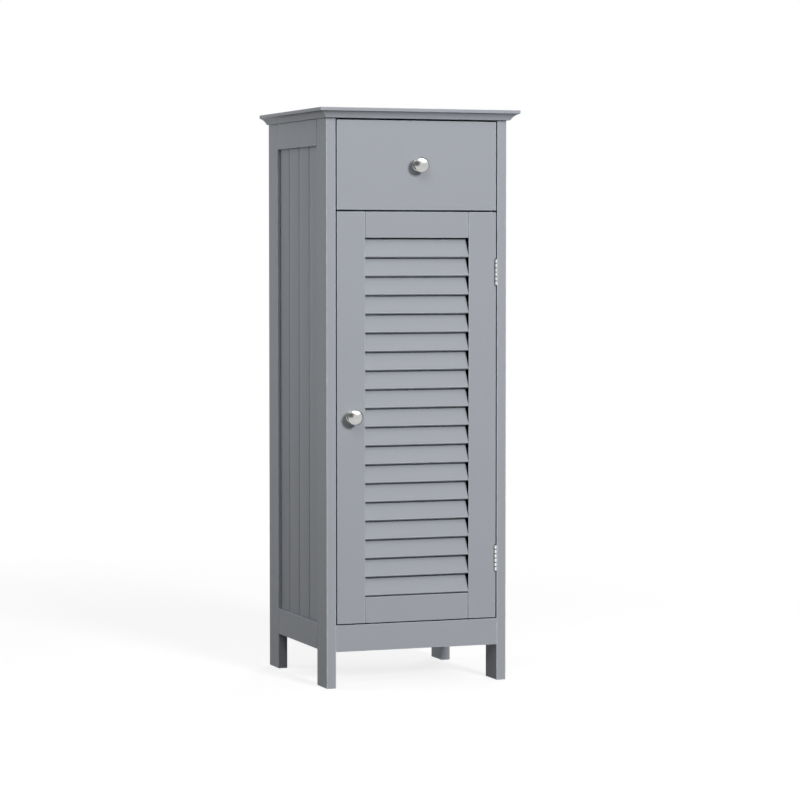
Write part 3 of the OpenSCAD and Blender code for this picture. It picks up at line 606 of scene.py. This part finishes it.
def knob_outline():
    """The knob's outline from the wall out: foot, flare, neck, underside, rim and dome."""
    line = [(0, 0), (foot_r - foot_chamfer, 0), (foot_r, foot_chamfer)]
    for i in range(bead_steps + 1):
        turn = math.pi / 2 * i / bead_steps
        bead_in = foot_round * (1 - math.cos(turn))
        bead_down = foot_round * (1 - math.sin(turn))
        line.append((foot_r - bead_in, foot_t - bead_down))
    for i in range(flare_steps + 1):
        turn = math.pi / 2 * i / flare_steps
        flare_out = flare_w * (1 - math.sin(turn))
        line.append((neck_r + flare_out, foot_t + flare_h * (1 - math.cos(turn))))
    rim = reach - dome_h
    meet = head_r + rim_over
    under = (meet**2 + under_h**2) / (2 * under_h)
    dome = (meet**2 + dome_h**2) / (2 * dome_h)
    base = rim - under_h + under
    start = math.asin(neck_r / under)
    end = math.asin((head_r - rim_round) / under)
    for i in range(under_steps + 1):
        turn = start + (end - start) * i / under_steps
        line.append((under * math.sin(turn), base - under * math.cos(turn)))
    line += [(head_r, rim - rim_round), (head_r, rim + rim_round)]
    start = math.asin((head_r - rim_round) / dome)
    for i in range(dome_steps + 1):
        turn = start * (1 - i / dome_steps)
        line.append((dome * math.sin(turn), reach - dome + dome * math.cos(turn)))
    return line


def bright_nickel(name, centre):
    """Bright nickel with the fine rings that turning and buffing leave round the axis."""
    finish = plated(name, (0.54, 0.54, 0.53), roughness=0.2, scratch=0.04)
    nodes, links = finish.node_tree.nodes, finish.node_tree.links
    place = next(n for n in nodes if n.bl_idname == "ShaderNodeTexCoord")
    relief = next(n for n in nodes if n.bl_idname == "ShaderNodeBump")
    shader = nodes["Principled BSDF"]
    centred = nodes.new("ShaderNodeMapping")
    centred.inputs["Location"].default_value = tuple(-c for c in centre)
    links.new(place.outputs["Object"], centred.inputs["Vector"])
    rings = nodes.new("ShaderNodeTexWave")
    rings.wave_type = "RINGS"
    rings.rings_direction = "Y"
    rings.inputs["Scale"].default_value = 700
    rings.inputs["Distortion"].default_value = 0.6
    links.new(centred.outputs["Vector"], rings.inputs["Vector"])
    lathe = nodes.new("ShaderNodeBump")
    lathe.inputs["Strength"].default_value = 0.08
    lathe.inputs["Distance"].default_value = 0.00001
    links.new(rings.outputs["Fac"], lathe.inputs["Height"])
    links.new(relief.outputs["Normal"], lathe.inputs["Normal"])
    links.new(lathe.outputs["Normal"], shader.inputs["Normal"])
    return finish


def fit_knob(node, body):
    """Turns a knob, plates it and fits it with its foot where the node's is."""
    low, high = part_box(node)
    foot = Vector(((low.x + high.x) / 2, high.y, (low.z + high.z) / 2))
    knob = bmesh.new()
    place = Matrix.Translation(foot) @ Matrix.Rotation(math.pi / 2, 4, "X")
    turned(knob, knob_outline(), place, steps=72)
    finish = bright_nickel(node + "_nickel", foot)
    fit(node + "_turned", close_turned(knob), finish, body, "nickel", node)


fit_knob("drawer_knob", "drawer")


# Drawer fasteners: small zinc cams and bolts for the front, screws for the back, and the
# knob's machine screw, all plated.
coat("drawer_fasteners", screw_zinc)


# Door stiles: two uprights of fibreboard, slotted on the inner edges for the slats and
# mortised for the rails. The right one has a round-cornered pocket at each hinge.
door_ease = 0.0007
door_paint = sprayed_paint("door_paint", paint_grey)
for stile in ("door_left_stile", "door_right_stile"):
    upright = ease(board_of(stile), door_ease)
    fit(stile + "_plank", upright, door_paint, "door", "painted_wood", stile)


# Door rails: the top and the bottom of the door's frame, of the same fibreboard, tenoned
# and glued into the stiles. A fine cut in the face at each end shows as a line at the joint.
for rail in ("door_top_rail", "door_bottom_rail"):
    fit(rail + "_plank", ease(board_of(rail), rail_ease), door_paint, "door", "painted_wood", rail)


# Slats: nineteen thin strips of fibreboard with round edges, glued in the stiles' slots.
# Each leans back at its top and hangs in front of the one below. They are sprayed with
# the door.
slat_width = 0.030
slat_thick = 0.005
slat_lean = math.radians(25)
slat_round = 0.001
# The slats' rounded edges take part of the painted highlight along the arrises.
slat_highlight = 0.5
long_edge = 0.1
slat_count = 19
slat_paint = sprayed_paint("slat_paint", paint_grey, roughness=0.48)
for count in range(1, slat_count + 1):
    node = f"slat_{count:02d}"
    low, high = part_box(node)
    slat = bmesh.new()
    bmesh.ops.create_cube(slat, size=1)
    bmesh.ops.scale(slat, vec=(high.x - low.x, slat_thick, slat_width), verts=slat.verts)
    slat.faces.layers.float.new("arris")
    edges = [e for e in slat.edges if e.calc_length() > long_edge]
    round_over(slat, edges, slat_round, rounds=5, highlight_weight=slat_highlight)
    lean = Matrix.Rotation(-slat_lean, 3, "X")
    bmesh.ops.rotate(slat, cent=(0, 0, 0), matrix=lean, verts=slat.verts)
    bmesh.ops.translate(slat, vec=(low + high) / 2, verts=slat.verts)
    fit(node + "_board", slat, slat_paint, "door", "painted_wood", node)


# Door knob: the same turned brass knob as the drawer's, plated in bright nickel too. It is
# held by one machine screw through the left stile.
fit_knob("door_knob", "door")


# Hinges, door leaves: the moving leaves of the two butt hinges, of the same plated steel,
# screwed to the edge of the right stile, with knuckles between those of the fixed leaves.
pressed_leaves("hinge_door_leaves", "door")


# Strike plate and door screws: a small nickel-plated steel plate on the back of the top
# rail that the magnet holds, and the plated screws of the hinges, the plate and the knob.
plate_ease = 0.0002
plate = ease(board_of("strike_plate"), plate_ease, shortest=0.008, rounds=2)
fit("strike_plate_pressed", plate, hinge_nickel, "door", "nickel", "strike_plate")
coat("door_screws", screw_zinc)


# Studio: a plain pale floor that keeps the cabinet's shadow, and a white world. The key lamp
# stands in front on the right, a weaker one in front on the left and one behind on each side.
# An overhead lamp and a dark card on the left show only as reflections in the plated parts.
floor_r = 30
shadow_near = 0.8
shadow_far = 2.0
floor_mesh = bmesh.new()
bmesh.ops.create_circle(floor_mesh, cap_ends=True, segments=96, radius=floor_r)
floor_shape = bpy.data.meshes.new("studio_floor")
floor_mesh.to_mesh(floor_shape)
floor_mesh.free()
floor = bpy.data.objects.new("studio_floor", floor_shape)
bpy.context.scene.collection.objects.link(floor)
floor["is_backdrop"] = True


def either(nodes, links, *rays):
    """1 for each of the named kinds of ray and 0 for all others."""
    seen = nodes.new("ShaderNodeLightPath")
    share = seen.outputs[rays[0]]
    for ray in rays[1:]:
        most = nodes.new("ShaderNodeMath")
        most.operation = "MAXIMUM"
        links.new(share, most.inputs[0])
        links.new(seen.outputs[ray], most.inputs[1])
        share = most.outputs["Value"]
    return share


floor_white = bpy.data.materials.new("floor_white")
floor_white.use_nodes = True
nodes, links = floor_white.node_tree.nodes, floor_white.node_tree.links
nodes.clear()
floor_out = nodes.new("ShaderNodeOutputMaterial")
bounce = nodes.new("ShaderNodeBsdfDiffuse")
bounce.inputs["Color"].default_value = (0.1, 0.1, 0.1, 1)
shaded = nodes.new("ShaderNodeBsdfDiffuse")
shaded.inputs["Color"].default_value = (0.35, 0.35, 0.35, 1)
glow = nodes.new("ShaderNodeEmission")
glow.inputs["Strength"].default_value = 0.8
both = nodes.new("ShaderNodeAddShader")
links.new(shaded.outputs["BSDF"], both.inputs[0])
links.new(glow.outputs["Emission"], both.inputs[1])
plain = nodes.new("ShaderNodeEmission")
floor_place = nodes.new("ShaderNodeTexCoord")
apart = nodes.new("ShaderNodeVectorMath")
apart.operation = "LENGTH"
links.new(floor_place.outputs["Object"], apart.inputs[0])
fade = nodes.new("ShaderNodeMapRange")
fade.inputs["From Min"].default_value = shadow_near
fade.inputs["From Max"].default_value = shadow_far
links.new(apart.outputs["Value"], fade.inputs["Value"])
near = nodes.new("ShaderNodeMixShader")
links.new(fade.outputs["Result"], near.inputs["Fac"])
links.new(both.outputs["Shader"], near.inputs[1])
links.new(plain.outputs["Emission"], near.inputs[2])
floor_mix = nodes.new("ShaderNodeMixShader")
links.new(either(nodes, links, "Is Camera Ray", "Is Glossy Ray"), floor_mix.inputs["Fac"])
links.new(bounce.outputs["BSDF"], floor_mix.inputs[1])
links.new(near.outputs["Shader"], floor_mix.inputs[2])
links.new(floor_mix.outputs["Shader"], floor_out.inputs["Surface"])
floor_shape.materials.append(floor_white)

world = bpy.data.worlds.new("studio_world")
bpy.context.scene.world = world
world.use_nodes = True
nodes, links = world.node_tree.nodes, world.node_tree.links
nodes.clear()
world_out = nodes.new("ShaderNodeOutputWorld")
white = nodes.new("ShaderNodeBackground")
white.inputs["Color"].default_value = (1, 1, 1, 1)
soft = nodes.new("ShaderNodeBackground")
soft.inputs["Color"].default_value = (1, 1, 1, 1)
soft.inputs["Strength"].default_value = 0.12
world_mix = nodes.new("ShaderNodeMixShader")
world_rays = either(nodes, links, "Is Camera Ray", "Is Glossy Ray", "Is Transmission Ray")
links.new(world_rays, world_mix.inputs["Fac"])
links.new(soft.outputs["Background"], world_mix.inputs[1])
links.new(white.outputs["Background"], world_mix.inputs[2])
links.new(world_mix.outputs["Shader"], world_out.inputs["Surface"])


def towards(azimuth, elevation):
    """The way from the cabinet to a place in the studio."""
    turn, rise = math.radians(azimuth), math.radians(elevation)
    level = math.cos(rise)
    return Vector((math.sin(turn) * level, -math.cos(turn) * level, math.sin(rise)))


def softbox(name, azimuth, elevation, distance, height, size, power, spread=180, gleam=False):
    """A square lamp that faces the cabinet at a height. Azimuth 0 is straight in front.
    A gleaming one only shows in the plated parts, and the others only light the cabinet."""
    lamp = bpy.data.lights.new(name, "AREA")
    lamp.shape = "SQUARE"
    lamp.size = size
    lamp.energy = power
    lamp.spread = math.radians(spread)
    box = bpy.data.objects.new(name, lamp)
    bpy.context.scene.collection.objects.link(box)
    box.visible_camera = False
    box.visible_glossy = gleam
    box.visible_diffuse = not gleam
    way = towards(azimuth, elevation)
    box.location = Vector((0, 0, height)) + way * distance
    box.rotation_euler = way.to_track_quat("Z", "Y").to_euler()


softbox("front_light", azimuth=-26, elevation=30, distance=3.2, height=0.6, size=1.2, power=19)
softbox("key_light", azimuth=8, elevation=17, distance=4.2, height=0.36, size=0.7, power=123)
softbox(
    "side_light",
    azimuth=-120,
    elevation=14,
    distance=1.9,
    height=0.64,
    size=1.0,
    power=1.8,
    spread=64,
)
softbox("back_light", azimuth=145, elevation=24, distance=3.6, height=0.5, size=1.4, power=32)
softbox(
    "top_light",
    azimuth=50,
    elevation=66,
    distance=2.4,
    height=0.7,
    size=3.6,
    power=80,
    gleam=True,
)

card_way = towards(azimuth=-64, elevation=20)
card_distance = 2.5
card_height = 0.65
card_half_w = 1.7
card_half_h = 1.15
card_place = Matrix.Translation(card_way * card_distance + Vector((0, 0, card_height)))
card_place @= card_way.to_track_quat("Z", "Y").to_matrix().to_4x4()
card_place @= Matrix.Diagonal((card_half_w, card_half_h, 1, 1))
dark_card = bmesh.new()
bmesh.ops.create_grid(dark_card, x_segments=1, y_segments=1, size=1, matrix=card_place)
card_shape = bpy.data.meshes.new("dark_card")
dark_card.to_mesh(card_shape)
dark_card.free()
card = bpy.data.objects.new("dark_card", card_shape)
bpy.context.scene.collection.objects.link(card)
card_grey = bpy.data.materials.new("card_grey")
card_grey.use_nodes = True
nodes, links = card_grey.node_tree.nodes, card_grey.node_tree.links
card_tone = nodes.new("ShaderNodeEmission")
card_tone.inputs["Color"].default_value = (0.2, 0.2, 0.2, 1)
links.new(card_tone.outputs["Emission"], nodes["Material Output"].inputs["Surface"])
nodes.remove(nodes["Principled BSDF"])
card_shape.materials.append(card_grey)
card.visible_camera = card.visible_diffuse = False
card.visible_shadow = card.visible_transmission = False
card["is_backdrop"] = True

camera_place = (-1.56391, -4.27131, 0.65434)
camera_dip = 0.05013
camera_turn = -0.35491
camera_lens = bpy.data.cameras.new("photo_camera")
camera_lens.lens = 132.11
camera_lens.sensor_width = 36
camera = bpy.data.objects.new("photo_camera", camera_lens)
bpy.context.scene.collection.objects.link(camera)
camera.location = camera_place
camera.rotation_euler = (math.pi / 2 - camera_dip, 0, camera_turn)
bpy.context.scene.camera = camera
bpy.context.scene.view_settings.view_transform = "Standard"

low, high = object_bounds()
